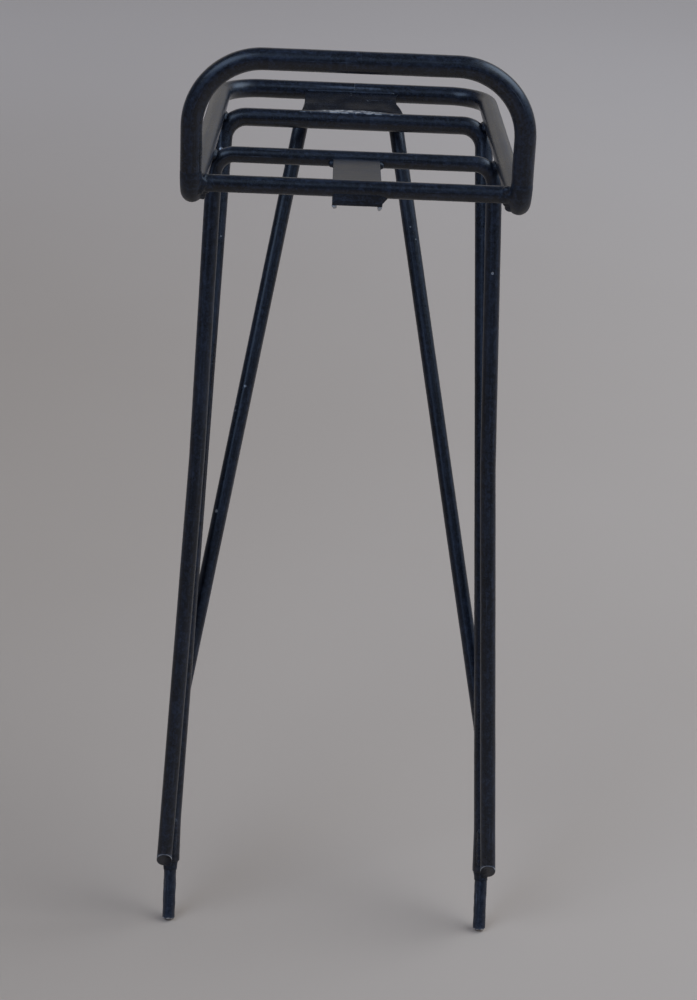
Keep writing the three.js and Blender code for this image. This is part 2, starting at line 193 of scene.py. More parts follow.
def beadSurface(radius, seed, pitch=1.9, ridge=0.14, lump=0.16, taper=2.2):
    # a weld bead: overlapping ripples, lumps, and ends that run out
    def radiusAt(distance, length, angle):
        spot = Vector((distance / 2.6 + seed, math.cos(angle) * 0.9, math.sin(angle) * 0.9))
        ripple = abs(math.sin(math.pi * (distance + 0.5 * math.cos(angle)) / pitch))
        ends = 1.0
        if taper:
            share = clamp(min(distance, length - distance) / taper)
            ends = math.sqrt(max(0.0, 1 - (1 - share) ** 2)) * 0.97 + 0.03
        return radius * ends * (1 - ridge + ridge * ripple + lump * noise.noise(spot))

    return radiusAt


def blob(shape, centre, axes, seed, lump=0.14, ripple=0.05, rows=26, facets=44):
    # a lump of weld on three half axes, its ripples lying across the first
    long, wide, tall = axes
    rings = []
    for row in range(1, rows):
        polar = math.pi * row / rows
        points = []
        for index in range(facets):
            angle = 2 * math.pi * index / facets
            ring = math.sin(polar)
            unit = Vector((math.cos(polar), ring * math.cos(angle), ring * math.sin(angle)))
            swell = 1 + lump * noise.noise(unit * 1.7 + Vector((seed, 0, 0)))
            swell += 0.4 * lump * noise.noise(unit * 4.3 + Vector((0, seed, 0)))
            swell += ripple * (abs(math.sin(unit.x * long.length * math.pi / 1.9 + seed)) - 0.5)
            points.append(centre + (long * unit.x + wide * unit.y + tall * unit.z) * swell)
        rings.append(shape.ring(points))
    for ringA, ringB in zip(rings, rings[1:]):
        shape.bridge(ringA, ringB)
    shape.faces.append(tuple(rings[0]))
    shape.faces.append(tuple(reversed(rings[-1])))


unworn = {"rubbedAndSheen": lambda point: 0, "rusty": lambda point: 0}


def setMarks(mesh, marks):
    # stores each point's wear and painted highlight, rust and grime; a rule takes the point in millimetres
    for name, rule in marks.items():
        mark = mesh.attributes.new(name, "FLOAT", "POINT")
        mark.data.foreach_set("value", [clamp(rule(vertex.co / mm)) for vertex in mesh.vertices])


def toMesh(name, shape):
    mesh = bpy.data.meshes.new(name)
    mesh.from_pydata([point * mm for point in shape.points], [], shape.faces)
    wraps = mesh.attributes.new("wrap", "FLOAT_VECTOR", "POINT")
    wraps.data.foreach_set("vector", [value * mm for wrap in shape.wraps for value in wrap])
    edit = bmesh.new()
    edit.from_mesh(mesh)
    bmesh.ops.recalc_face_normals(edit, faces=edit.faces)
    edit.to_mesh(mesh)
    edit.free()
    return mesh


def cutOff(mesh, point, outward, rim=0.35):
    # cuts away what lies beyond a plane, closes the cut and rounds its rim
    edit = bmesh.new()
    edit.from_mesh(mesh)
    everything = edit.verts[:] + edit.edges[:] + edit.faces[:]
    cut = bmesh.ops.bisect_plane(
        edit, geom=everything, plane_co=point * mm, plane_no=outward, clear_outer=True)
    edges = [item for item in cut["geom_cut"] if isinstance(item, bmesh.types.BMEdge)]
    faces = bmesh.ops.holes_fill(edit, edges=edges)["faces"]
    ends = [edge for face in faces for edge in face.edges]
    bmesh.ops.bevel(edit, geom=ends, offset=rim * mm, segments=3, affect="EDGES", profile=0.6)
    flat = [face for face in edit.faces if len(face.verts) > 8 and abs(face.normal.dot(outward)) > 0.99]
    bmesh.ops.inset_individual(edit, faces=flat, thickness=0.5 * mm)
    bmesh.ops.inset_individual(edit, faces=flat, thickness=1.1 * mm)
    bmesh.ops.recalc_face_normals(edit, faces=edit.faces)
    edit.to_mesh(mesh)
    edit.free()


def addPiece(name, mesh, nodes, material, marks, sharp=40):
    mesh.shade_smooth()
    mesh.set_sharp_from_angle(angle=math.radians(sharp))
    setMarks(mesh, marks)
    mesh.materials.append(material)
    piece = bpy.data.objects.new(name, mesh)
    bpy.context.scene.collection.objects.link(piece)
    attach(piece, "root")
    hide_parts(*nodes)


class Channel:  # a socket; arithmetic on it adds Math nodes
    def __init__(self, surface, socket):
        self.surface = surface
        self.socket = socket

    def math(self, operation, first, second):
        return self.surface.node("ShaderNodeMath", {"operation": operation}, {0: first, 1: second})

    def __add__(self, other):
        return self.math("ADD", self, other)

    def __radd__(self, other):
        return self.math("ADD", other, self)

    def __sub__(self, other):
        return self.math("SUBTRACT", self, other)

    def __rsub__(self, other):
        return self.math("SUBTRACT", other, self)

    def __mul__(self, other):
        return self.math("MULTIPLY", self, other)

    def __rmul__(self, other):
        return self.math("MULTIPLY", other, self)

    def most(self, other):
        return self.math("MAXIMUM", self, other)


class Surface:  # a material or the world, and the nodes that it is built from
    def __init__(self, owner):
        self.owner = owner
        owner.use_nodes = True
        self.tree = owner.node_tree
        self.tree.nodes.clear()
        self.wrap = self.mark("wrap", "Vector")
        self.here = self.node("ShaderNodeTexCoord", {}, {}, "Object")

    def node(self, kind, settings, inputs, output=0):
        made = self.tree.nodes.new(kind)
        for key, value in settings.items():
            setattr(made, key, value)
        for key, value in inputs.items():
            if isinstance(value, Channel):
                self.tree.links.new(value.socket, made.inputs[key])
            else:
                made.inputs[key].default_value = value
        return Channel(self, made.outputs[output]) if made.outputs else made

    def mark(self, name, output="Fac"):
        return self.node("ShaderNodeAttribute", {"attribute_name": name}, {}, output)

    def noise(self, scale, detail=3.0, rough=0.55, wrap=None):
        inputs = {"Vector": wrap or self.wrap, "Scale": scale, "Detail": detail, "Roughness": rough}
        return self.node("ShaderNodeTexNoise", {}, inputs)

    def stretched(self, along, around):
        inputs = {0: self.wrap, 1: (along, around, around)}
        return self.node("ShaderNodeVectorMath", {"operation": "MULTIPLY"}, inputs)

    def step(self, value, low, high):
        inputs = {"Value": value, "From Min": low, "From Max": high}
        return self.node("ShaderNodeMapRange", {"interpolation_type": "SMOOTHSTEP"}, inputs)

    def mix(self, share, colourA, colourB):
        return self.node("ShaderNodeMix", {"data_type": "RGBA"}, {0: share, 6: colourA, 7: colourB}, 2)

    def spot(self, centre, size, ragged):
        # a ragged spot round a place on the piece; size is its radius
        inputs = {0: self.here, 1: tuple(centre * mm)}
        distance = self.node("ShaderNodeVectorMath", {"operation": "DISTANCE"}, inputs, "Value")
        return self.step(distance * (1 / mm) + 0.9 * size * ragged - 0.45 * size, size, 0.7 * size)

    def bump(self, height, distance):
        return self.node("ShaderNodeBump", {}, {"Height": height, "Distance": distance, "Strength": 1.0})

    def finish(self, inputs):
        shader = self.node("ShaderNodeBsdfPrincipled", {}, inputs)
        self.node("ShaderNodeOutputMaterial", {}, {"Surface": shader})
        return self.owner


def shade(red, green, blue):  # display values from 0 to 255
    parts = [value / 255 for value in (red, green, blue)]
    linear = [part / 12.92 if part < 0.04045 else ((part + 0.055) / 1.055) ** 2.4 for part in parts]
    return tuple(linear) + (1.0,)


chips = {  # knocks that have gone into the paint: where they are, their radius and how bright
    "tubeBlack": [
        ((-69.5, 161.5, -18.5), 1.1, 1.0), ((-69.3, 161.2, -20.3), 0.8, 0.6),
        ((-67.8, 145.5, -61.0), 0.5, 0.5),
    ],
    "rodBlack": [
        ((70.5, 77.2, -54.3), 0.8, 0.7), ((32.1, 167.4, -58.2), 0.5, 0.5), ((30.4, 168.6, -55.0), 0.4, 0.3),
        ((33.6, 166.6, -61.2), 0.5, 0.5), ((35.2, 165.4, -64.4), 0.5, 0.4),
        ((-52.8, 131.2, -139.0), 0.7, 0.6), ((-57.3, 129.2, -149.0), 0.8, 0.35),
        ((-57.4, 127.6, -152.0), 0.9, 0.4), ((-57.6, 125.6, -155.6), 0.8, 0.35),
        ((-65.5, 104.2, -200.5), 0.9, 0.8),
    ],
    "gutterShadedBlack": [
        ((7.0, 210.6, -1.8), 0.8, 0.4), ((-2.2, 214.2, -1.0), 0.7, 0.16), ((-2.1, 216.2, -0.4), 0.8, 0.22),
        ((-2.1, 218.2, 0.2), 0.7, 0.2), ((-0.6, 209.6, -2.1), 0.6, 0.14), ((24.5, 208.6, -2.3), 0.7, 0.2),
    ],
}

paints = {  # two tones, roughness, gloss, how scratched and how dimpled each black is
    "tubeBlack": {"deep": shade(8, 11, 18), "faded": shade(38, 45, 60), "rough": 0.26, "gloss": 0.5,
                  "scratch": 0.5, "peel": 1.0},
    "rodBlack": {"deep": shade(8, 11, 18), "faded": shade(40, 47, 62), "rough": 0.28, "gloss": 0.5,
                 "scratch": 0.5, "peel": 1.0},
    "plateBlack": {"deep": shade(10, 13, 20), "faded": shade(42, 47, 58), "rough": 0.34, "gloss": 0.5,
                   "scratch": 0.5, "peel": 1.6},
    # painted shade: the gutter's blacks are darker than the other paints, so that its upward face, which
    # gets more light, looks as dark as faces turned to the camera
    "gutterShadedBlack": {"deep": shade(6, 7, 12), "faded": shade(21, 25, 34), "rough": 0.2, "gloss": 0.19,
                    "scratch": 0.3, "peel": 1.8},
    "pinBlack": {"deep": shade(14, 19, 29), "faded": shade(50, 57, 69), "rough": 0.28, "gloss": 0.5,
                 "scratch": 0.9, "peel": 1.8},
    "weldBlack": {"deep": shade(10, 14, 22), "faded": shade(44, 52, 67), "rough": 0.42, "gloss": 0.4,
                  "scratch": 0.0, "peel": 2.2},
}


def blackPaint(name, look):
    # blue-black paint: dulled in patches, scratched along the bar, rubbed and chipped to bare metal; where
    # the wear mark carries a painted highlight, the same lighter tones paint it
    paint = Surface(bpy.data.materials.new(name))
    cloud = paint.noise(30, 3.0, 0.6)
    mottle = paint.noise(420, 3.0, 0.65)
    grain = paint.noise(1100, 2.0, 0.7)
    peel = paint.noise(1500, 2.0)
    patch = paint.step(paint.noise(55, 2.0), 0.5, 0.72)
    streak = paint.noise(1.0, 3.0, 0.6, paint.stretched(11, 700))
    rubbedAndSheen = paint.mark("rubbedAndSheen")
    rusty = paint.mark("rusty")
    grimy = paint.mark("grimy")

    lines = paint.noise(1.0, 2.0, 0.5, paint.stretched(26, 1900))
    scratch = paint.step(lines, 0.64, 0.7) * (0.25 + 0.75 * patch) * look["scratch"]
    nicks = paint.noise(1.0, 1.0, 0.5, paint.stretched(2400, 120))
    scratch = scratch.most(paint.step(nicks, 0.7, 0.74) * patch * 0.5 * look["scratch"])
    wornAndSheen = paint.step(rubbedAndSheen + 0.5 * mottle - 0.25, 0.42, 0.6)
    bareAndGlint = paint.step(rubbedAndSheen + 0.6 * mottle - 0.3, 0.86, 0.94)
    for centre, size, strength in chips.get(name, []):
        bareAndGlint = bareAndGlint.most(paint.spot(place(*centre), size, grain) * strength)
    brown = paint.step(rusty + 0.8 * mottle + 0.5 * cloud - 0.65, 0.4, 0.8)

    dust = paint.step(0.4 * mottle + 0.35 * grain + 0.25 * streak, 0.45, 0.62)
    tone = paint.mix(dust * 0.75 + 0.25 * paint.step(cloud, 0.4, 0.8), look["deep"], look["faded"])
    tone = paint.mix(scratch, tone, shade(92, 98, 110))
    # worn paint, and painted highlight where the wear mark carries one
    tone = paint.mix(wornAndSheen * 0.5, tone, shade(86, 93, 104))
    tone = paint.mix(brown * 0.7, tone, shade(62, 50, 44))
    tone = paint.mix(grimy * paint.step(grain, 0.55, 0.68) * 0.2, tone, shade(44, 43, 46))
    metal = paint.mix(mottle, shade(214, 214, 214), shade(150, 150, 150))
    # bare metal from chips and wear, and painted glints where the wear mark carries them
    tone = paint.mix(bareAndGlint, tone, metal)
    gloss = look["rough"] + 0.12 * cloud + 0.12 * mottle + 0.2 * streak - 0.05 + 0.12 * scratch
    gloss = gloss + 0.1 * wornAndSheen + 0.2 * brown + 0.2 * grain - 0.1
    height = peel * (0.12 * look["peel"]) + mottle * (0.3 * look["peel"]) - 1.4 * bareAndGlint - 0.5 * scratch
    return paint.finish({
        "Base Color": tone,
        "Roughness": gloss - 0.1 * bareAndGlint - 0.12,
        "Metallic": bareAndGlint * 0.6,
        "IOR": 1.46,
        "Specular IOR Level": look["gloss"],
        "Normal": paint.bump(height, 0.05 * mm),
    })


finishes = {name: blackPaint(name, look) for name, look in paints.items()}
print("finishes made:", ", ".join(finishes))

# main loop: one tube for the hoop, both rails and the back bar

loop = {"hoopBend": 32, "footBend": 12, "backBend": 21, "backWidth": 143.6, "seamGap": 0.04}
halfBack = loop["backWidth"] / 2


def onRail(side, back):
    return place(side * lerp(halfHoop, halfBack, back / platformDepth), back, 0)


loopRoute = bendRoute([
    (place(loop["seamGap"] / 2, platformDepth, 0), 0),
    (place(halfBack, platformDepth, 0), loop["backBend"]),
    (place(halfHoop, 0, 0), loop["footBend"]),
    (place(halfHoop, 0, hoopHeight), loop["hoopBend"]),
    (place(-halfHoop, 0, hoopHeight), loop["hoopBend"]),
    (place(-halfHoop, 0, 0), loop["footBend"]),
    (place(-halfBack, platformDepth, 0), loop["backBend"]),
    (place(-loop["seamGap"] / 2, platformDepth, 0), 0),
])
hoopTop = loopHigh.z


def loopWearAndSheen(point):
    # lighter paint, partly worn and partly painted highlight: a band on the back bar's upper front over the
    # stay plate and a line along the hoop's crown; the seam and the left foot are worn
    barAxis = place(0, platformDepth, 0)
    angle = math.degrees(math.atan2(barAxis.y - point.y, point.z - barAxis.z))
    reach = fade(20 - abs(point.x + 1.5), 0, 3)
    onBar = 1 if point.y > barAxis.y - 6 else 0
    # painted highlight: the band is picked by the angle round the back bar, over worn paint
    band = fade(angle, 33, 42) * (1 - fade(angle, 58, 68)) * reach * onBar * 0.56
    seam = onBar * (1 - fade(abs(point.x + 0.2), 0.05, 0.2)) * 0.6
    middle = fade(point.x, -20, -8) * (1 - fade(point.x, 30, 44))
    # the crown line is worn paint with a painted highlight along the tube's top
    crown = fade(point.z, hoopTop - 2.2, hoopTop - 0.4) * middle * 0.4
    foot = fade(-point.x, halfHoop - 3, halfHoop) * (1 - fade(abs(point.z - railHeight - 22), 4, 14)) * 0.34
    return max(band, seam, crown, foot if point.y < hoopDepth else 0)


loopShape = Shape()
sweep(loopShape, withEnds(spaced(loopRoute, 3), 0.3), barSurface(loopRadius, seed=3.1, rounding=0.3))
addPiece("mainLoop", toMesh("mainLoop", loopShape), ["main_loop"],
         finishes["tubeBlack"], {"rubbedAndSheen": loopWearAndSheen, "rusty": lambda point: 0})
print("main loop made")

# rear leg arch: the second crossbar and both rear legs

rearArch = {"ahead": 52.5, "drop": 3.5, "lean": 21.75, "bend": 12, "footWidth": 165,
            "legLength": 394, "footLength": 22, "kinkBend": 120, "shoulderGap": 0.6}


def shoulderInset(drop, lean, bend, radius):
    # how far inside the rail's axis a leg runs, so that its bend just clears the rail
    reach = loopRadius + radius + rearArch["shoulderGap"]
    inset = 0
    for degree in range(91):
        angle = math.radians(degree)
        below = drop + bend * math.cos(lean) * (1 - math.cos(angle))
        beside = math.sqrt(max(reach ** 2 - below ** 2, 0))
        inset = max(inset, beside - bend * (1 - math.sin(angle)))
    return inset


rearArchBack = platformDepth - rearArch["ahead"]
lean = math.radians(rearArch["lean"])
rearArchHalf = onRail(1, rearArchBack).x - shoulderInset(rearArch["drop"], lean, rearArch["bend"], legRadius)
downLeg = Vector((0, -math.sin(lean), -math.cos(lean)))
aheadOfLeg = Vector((0, -math.cos(lean), math.sin(lean)))


def onRearLeg(side, along):
    share = min(along / (rearArch["legLength"] - rearArch["footLength"]), 1)
    spot = place(0, rearArchBack, -rearArch["drop"]) + downLeg * along
    spot.x = side * lerp(rearArchHalf, rearArch["footWidth"] / 2, share)
    return spot


def rearLeg(side):
    return [
        (onRearLeg(side, rearArch["legLength"]), 0),
        (onRearLeg(side, rearArch["legLength"] - rearArch["footLength"]), rearArch["kinkBend"]),
        (onRearLeg(side, 0), rearArch["bend"]),
    ]


legEndHeight = onRearLeg(1, rearArch["legLength"]).z
rearRoute = bendRoute(rearLeg(1) + rearLeg(-1)[::-1])
rearShape = Shape()
sweep(rearShape, withEnds(spaced(rearRoute, 5), 0.5), barSurface(legRadius, seed=11.7))
rearMesh = toMesh("rearLegArch", rearShape)
addPiece("rearLegArch", rearMesh, ["rear_leg_arch"], finishes["tubeBlack"], {
    "rubbedAndSheen": lambda point: 0.3 * (1 - fade(point.z - legEndHeight, 0, 3)),
    "rusty": lambda point: 0.5 * (1 - fade(point.z - legEndHeight, 4, 70)),
})
print("rear leg arch made")

# front leg arch: the third crossbar and both front legs, cut on a slant at the feet

frontArch = {"back": 91.5, "drop": 3, "bend": 10, "kneeShare": 0.41, "kneeInset": 1.9,
             "footSpread": 2.9, "footOverhang": 3, "footCut": 48, "footSide": 60, "kinkBend": 120}
legPitch = legRadius + rodRadius + stock["gap"]
frontArchTop = place(0, frontArch["back"], -frontArch["drop"])


def legMeeting(side):
    ahead = math.sqrt(legPitch ** 2 - frontArch["footSpread"] ** 2)
    spot = onRearLeg(side, rearArch["legLength"]) + aheadOfLeg * ahead
    return spot + Vector((side * frontArch["footSpread"], 0, 0))


frontReach = legMeeting(0) - frontArchTop
frontLean = math.atan2(-frontReach.y, -frontReach.z)
frontArchHalf = onRail(1, frontArch["back"]).x - shoulderInset(
    frontArch["drop"], frontLean, frontArch["bend"], rodRadius)


def frontLeg(side):
    top = frontArchTop + Vector((side * frontArchHalf, 0, 0))
    meeting = legMeeting(side)
    knee = top.lerp(meeting, frontArch["kneeShare"]) - Vector((side * frontArch["kneeInset"], 0, 0))
    foot = meeting + heading(knee, meeting) * frontArch["footOverhang"]
    return [(foot, 0), (knee, frontArch["kinkBend"]), (top, frontArch["bend"])]


frontFoot, frontKnee = frontLeg(1)[0][0], frontLeg(1)[1][0]
legAngle = math.atan2(frontKnee.y - frontFoot.y, frontKnee.z - frontFoot.z)
footSlant = math.radians(frontArch["footCut"])
upLeg = heading(Vector((0, frontFoot.y, frontFoot.z)), Vector((0, frontKnee.y, frontKnee.z)))
cutPoint = frontFoot + upLeg * (rodRadius * math.tan(footSlant))
cutOutward = Vector((0, -math.sin(legAngle + footSlant), -math.cos(legAngle + footSlant)))


def cutDepth(point):
    return (cutPoint - point).dot(cutOutward)


def cutRimWearAndGlint(point):
    # a thin bare rim on each cut end, painted on its upper half only, as a glint
    if abs(point.x) < frontArch["footSide"]:
        return 0
    nearCut = fade(cutDepth(point), 0.02, 0.2) * (1 - fade(cutDepth(point), 0.4, 0.8))
    return 1.1 * nearCut * fade(point.z - frontFoot.z, 2.0, 4.5)


frontRoute = bendRoute(frontLeg(1) + frontLeg(-1)[::-1])
frontShape = Shape()
sweep(frontShape, spaced(frontRoute, 5), barSurface(rodRadius, seed=23.9, rounding=0.01))
frontMesh = toMesh("frontLegArch", frontShape)
cutOff(frontMesh, cutPoint, cutOutward)
addPiece("frontLegArch", frontMesh, ["front_leg_arch"], finishes["rodBlack"], {
    "rubbedAndSheen": cutRimWearAndGlint,
    "rusty": lambda point: 0.42 if cutDepth(point) < 0.2 else 0.5 * (1 - fade(point.z - frontFoot.z, 8, 40)),
})
print("front leg arch made")

# front crossbar, between the feet of the hoop

frontBar = {"back": 4.4, "height": 5.8}
railAtFrontBar = min(halfHoop, onRail(1, frontBar["back"] + rodRadius).x)
frontBarEnd = railAtFrontBar - loopRadius - stock["gap"]
frontBarRoute = [place(side * frontBarEnd, frontBar["back"], frontBar["height"]) for side in sides.values()]
frontBarShape = Shape()
sweep(frontBarShape, spaced(frontBarRoute, 4), barSurface(rodRadius, seed=31.3, rounding=0.3))
addPiece("frontCrossbar", toMesh("frontCrossbar", frontBarShape), ["front_crossbar"],
         finishes["rodBlack"], unworn)
print("front crossbar made")

# sheet plates


def settle(piece):  # turns a piece's modifiers into its mesh
    graph = bpy.context.evaluated_depsgraph_get()
    mesh = bpy.data.meshes.new_from_object(piece.evaluated_get(graph))
    piece.modifiers.clear()
    piece.data = mesh
    return mesh


def plateMesh(name, profile, halfWidth, offset, shift, dent, seed, columns):
    # a bent sheet: profile is its side view at mid thickness, halfWidth its plan
    shape = Shape()
    rows = []
    for station in profile:
        row = []
        for column in range(columns + 1):
            across = lerp(-1, 1, column / columns)
            half = halfWidth(station, across)
            spot = station + Vector((offset + across * half, 0, 0)) + shift(across, station)
            spot.z += dent * noise.noise(Vector((spot.x / 9 + seed, spot.y / 9, 0)))
            row.append(spot)
        rows.append(shape.ring(row))
    for rowA, rowB in zip(rows, rows[1:]):
        shape.strip(rowA, rowB)
    blank = bpy.data.objects.new(name, toMesh(name, shape))
    bpy.context.scene.collection.objects.link(blank)
    blank.data.shade_smooth()
    solid = blank.modifiers.new("thickness", "SOLIDIFY")
    solid.thickness, solid.offset = stock["sheet"] * mm, 0
    edge = blank.modifiers.new("edge", "BEVEL")
    edge.width, edge.segments, edge.limit_method = 0.3 * mm, 3, "ANGLE"
    edge.angle_limit = math.radians(50)
    mesh = settle(blank)
    bpy.data.objects.remove(blank)
    return mesh


stayPlate = {"offset": -2.2, "width": 49.6, "lip": 2.0, "flat": 3.6, "sink": 0.69, "drop": 7.45,
             "slope": 9.9, "level": 6, "middle": 8.5, "lipRise": 0.16, "droop": 0.34, "endDroop": 1.7,
             "lipBend": 3, "floorBend": 4, "backBend": 30, "backTuck": 0.9, "backRise": 0.5,
             "leftFlare": {"lip": 2.4, "start": 34.5, "run": 15, "bar": 0.7},
             "rightFlare": {"lip": 3.8, "start": 35.5, "run": 16, "bar": 1.2},
             "dent": 0.3, "columns": 64}
stayLipHeight = legRadius - rearArch["drop"] - stayPlate["sink"]
stayFloorHeight = legRadius - rearArch["drop"] - stayPlate["drop"]
stayFloorFront = rearArchBack + stayPlate["flat"] + stayPlate["slope"]
stayFloorMiddle = stayFloorFront + stayPlate["middle"]
stayProfile = spaced(bendRoute([
    (place(0, rearArchBack - stayPlate["lip"], stayLipHeight), 0),
    (place(0, rearArchBack + stayPlate["flat"], stayLipHeight + stayPlate["lipRise"]), stayPlate["lipBend"]),
    (place(0, stayFloorFront, stayFloorHeight), stayPlate["floorBend"]),
    (place(0, stayFloorFront + stayPlate["level"], stayFloorHeight), stayPlate["backBend"]),
    (place(0, platformDepth - loopRadius + stayPlate["backTuck"], stayPlate["backRise"]), 0),
], turnStep=6), 1.1)


def stayHalfWidth(station, across):
    # each side flares out to the lip, the right one sooner, and spreads a little into the back bar
    back = station.y - hoopDepth
    flare = stayPlate["leftFlare" if across < 0 else "rightFlare"]
    toLip = clamp((rearArchBack + flare["start"] - back) / flare["run"])
    toBar = clamp(1 - (platformDepth - loopRadius - back) / 4.5)
    curve = toLip ** 1.5 if across < 0 else 1 - (1 - toLip) ** 2
    return stayPlate["width"] / 2 + flare["lip"] * curve + flare["bar"] * toBar ** 2


def stayShift(across, station):
    # the lip lies level in the middle, and at both ends it bends down sooner behind the bar
    back = station.y - hoopDepth - rearArchBack
    drop = fade(14 - back, 0, 10) * lerp(stayPlate["droop"], stayPlate["endDroop"], clamp((back + 2) / 5))
    return Vector((0, 0, -drop * abs(across) ** 2.5))


def stayWearAndSheen(point):
    # worn along the lip's edge; the light strip on the flat behind it and the glint on one crest to the
    # right are painted highlights
    back = point.y - hoopDepth - rearArchBack
    across = (point.x - stayPlate["offset"]) / 25
    ends = fade(abs(across), 0.45, 0.8)
    edge = (1 - fade(back + stayPlate["lip"], 0.25, 0.9)) * lerp(0.55, 0.85, ends)
    # painted reflection: the light strip on the flat behind the lip
    top = 0.895 * (1 - fade(back, 2.9, 4.6)) * (1 - fade(abs(across), 0.6, 0.95))
    # painted glint on the crest
    crest = 0.8 * fade(point.x, 3, 5) * (1 - fade(point.x, 8, 11)) * (1 - fade(abs(back - 4.4), 0.5, 1.6))
    return max(edge, top, crest) if point.z > place(0, 0, -1).z else 0


stayMesh = plateMesh("stayPlate", stayProfile, stayHalfWidth, stayPlate["offset"], stayShift,
                     stayPlate["dent"], seed=5.2, columns=stayPlate["columns"])
addPiece("stayPlate", stayMesh, ["stay_plate"], finishes["gutterShadedBlack"], {
    "rubbedAndSheen": stayWearAndSheen,
    "rusty": lambda point: 0.06,
    "grimy": lambda point: fade(point.y - hoopDepth - rearArchBack, 4, 9),
})
print("stay plate made")

lampPlate = {"offset": 0.8, "width": 23, "rise": 1.1, "lipReach": 3, "lipDrop": 2.4, "bend": 1.6,
             "tuck": 0.8, "prongWidth": 2.2, "prongDrop": 1.9, "dent": 0.1, "columns": 20}
lampBackHeight = lampPlate["rise"] - frontArch["drop"] - stock["sheet"] / 2
lampFrontHeight = frontBar["height"] - rodRadius - stock["sheet"] / 2 - stock["hairline"]
lampLip = place(0, frontBar["back"] - lampPlate["lipReach"], lampFrontHeight - lampPlate["lipDrop"])
lampProfile = spaced(bendRoute([
    (lampLip, 0),
    (place(0, frontBar["back"] - lampPlate["lipReach"], lampFrontHeight), lampPlate["bend"]),
    (place(0, frontArch["back"] - rodRadius + lampPlate["tuck"], lampBackHeight), 0),
], turnStep=12), 1.6)
lampMesh = plateMesh("lampPlate", lampProfile, lambda station, across: lampPlate["width"] / 2,
                     lampPlate["offset"], lambda across, station: Vector((0, 0, 0)),
                     lampPlate["dent"], seed=8.4, columns=lampPlate["columns"])


def addProngs(mesh):
    # the torn metal left at the lip's two lower corners
    shape = Shape()
    for side in sides.values():
        across = lampPlate["offset"] + side * (lampPlate["width"] - lampPlate["prongWidth"]) / 2
        centre = lampLip + Vector((across, 0, -0.2 * lampPlate["prongDrop"]))
        tall = Vector((0.15 * side, 0, 0.75 * lampPlate["prongDrop"]))
        wide = Vector((lampPlate["prongWidth"] / 2, 0, 0))
        thick = Vector((0, 0.72, 0))
        blob(shape, centre, (tall, wide, thick), seed=4.0 + side, lump=0.3, ripple=0.0, rows=14, facets=18)
    edit = bmesh.new()
    edit.from_mesh(mesh)
    edit.from_mesh(toMesh("prongs", shape))
    edit.to_mesh(mesh)
    edit.free()


addProngs(lampMesh)


def onLip(rule):  # a wear rule that takes the height above the lip's edge, and holds on the lip alone
    return lambda point: rule(point.z - lampLip.z) if point.y < lampLip.y + 1.5 else 0


addPiece("lampPlate", lampMesh, ["lamp_plate"], finishes["plateBlack"], {
    "rubbedAndSheen": onLip(lambda low: 1.2 if low < -0.05 else 0.45 * (1 - fade(low, 0.1, 0.8))),
    "rusty": onLip(lambda low: 0.42 * (1 - fade(low, 0.5, 3.5))),
})
print("lamp plate made")

# struts, from the stay plate down to the rear legs

strut = {"offset": -2.95, "span": 49.5, "leftRise": 88, "rightRise": 73}


def strutReach(side):  # how far down the leg a strut ends
    return rearArch["legLength"] - (strut["leftRise"] if side < 0 else strut["rightRise"])


def strutTop(side):
    across = strut["offset"] + side * strut["span"] / 2
    return place(across, stayFloorMiddle, stayFloorHeight - stock["sheet"] / 2 - stock["hairline"])


def strutFoot(side):
    return onRearLeg(side, strutReach(side)) - aheadOfLeg * legPitch


def addStrut(name, side):
    overrun = heading(strutFoot(side), strutTop(side)) * stock["rod"]  # cut off level under the plate
    route = spaced([strutFoot(side), strutTop(side) + overrun], 5)
    shape = Shape()
    sweep(shape, withEnds(route, 0.5), barSurface(rodRadius, seed=41.0 + side))
    mesh = toMesh(name + "Strut", shape)
    cutOff(mesh, strutTop(side), Vector((0, 0, 1)), rim=0.15)
    addPiece(name + "Strut", mesh, [name + "_strut"], finishes["rodBlack"], unworn)


for name, side in sides.items():
    addStrut(name, side)
print("struts made")

# pins, set into the ends of the rear legs

pin = {"reach": 30.8, "inserted": 14, "bore": 7.4, "slack": 0.3, "chamfer": 0.9}
pinRadius = pin["bore"] / 2 - pin["slack"]


def pinSurface(seed):
    # a pin with a chamfered tip, a little uneven all along
    def radiusAt(distance, length, angle):
        spot = Vector((distance / 5 + seed, 1.2 * math.cos(angle), 1.2 * math.sin(angle)))
        near = clamp(1 - (length - distance) / pin["chamfer"])
        return pinRadius - pin["chamfer"] * 0.7 * near ** 1.6 + 0.26 * noise.noise(spot) - 0.14

    return radiusAt


def addPin(name, side):
    legEnd = onRearLeg(side, rearArch["legLength"])
    tip = legEnd + downLeg * pin["reach"]
    stations = spaced([legEnd - downLeg * pin["inserted"], tip - downLeg * 1.4], 1.2)
    stations += [tip - downLeg * rest for rest in (1.1, 0.8, 0.5, 0.25, 0.1, 0.0)]  # close ones at the tip
    shape = Shape()
    sweep(shape, stations, pinSurface(seed=51.0 + side * 3))

    def rubbedPin(point):
        ragged = lerp(0.55, 1.1, 0.5 + noise.noise(point / 1.6))
        return 0.12 + ragged * (1 - fade((tip - point).dot(downLeg), 0.5, 1.6))

    addPiece(name + "Pin", toMesh(name + "Pin", shape), [name + "_pin"], finishes["pinBlack"],
             {"rubbedAndSheen": rubbedPin, "rusty": lambda point: 0.1})


for name, side in sides.items():
    addPin(name, side)
print("pins made")

# welds

weld = {"shoulder": 2.7, "shoulderProud": 0.8, "valley": 1.85, "valleySeat": 2.8, "seam": 1.8,
        "topRing": 4.2, "topBead": 1.4, "topSink": 0.5, "strutLength": 24, "footLength": 20,
        "collar": 4.8, "grain": 0.24, "coarse": 0.34}


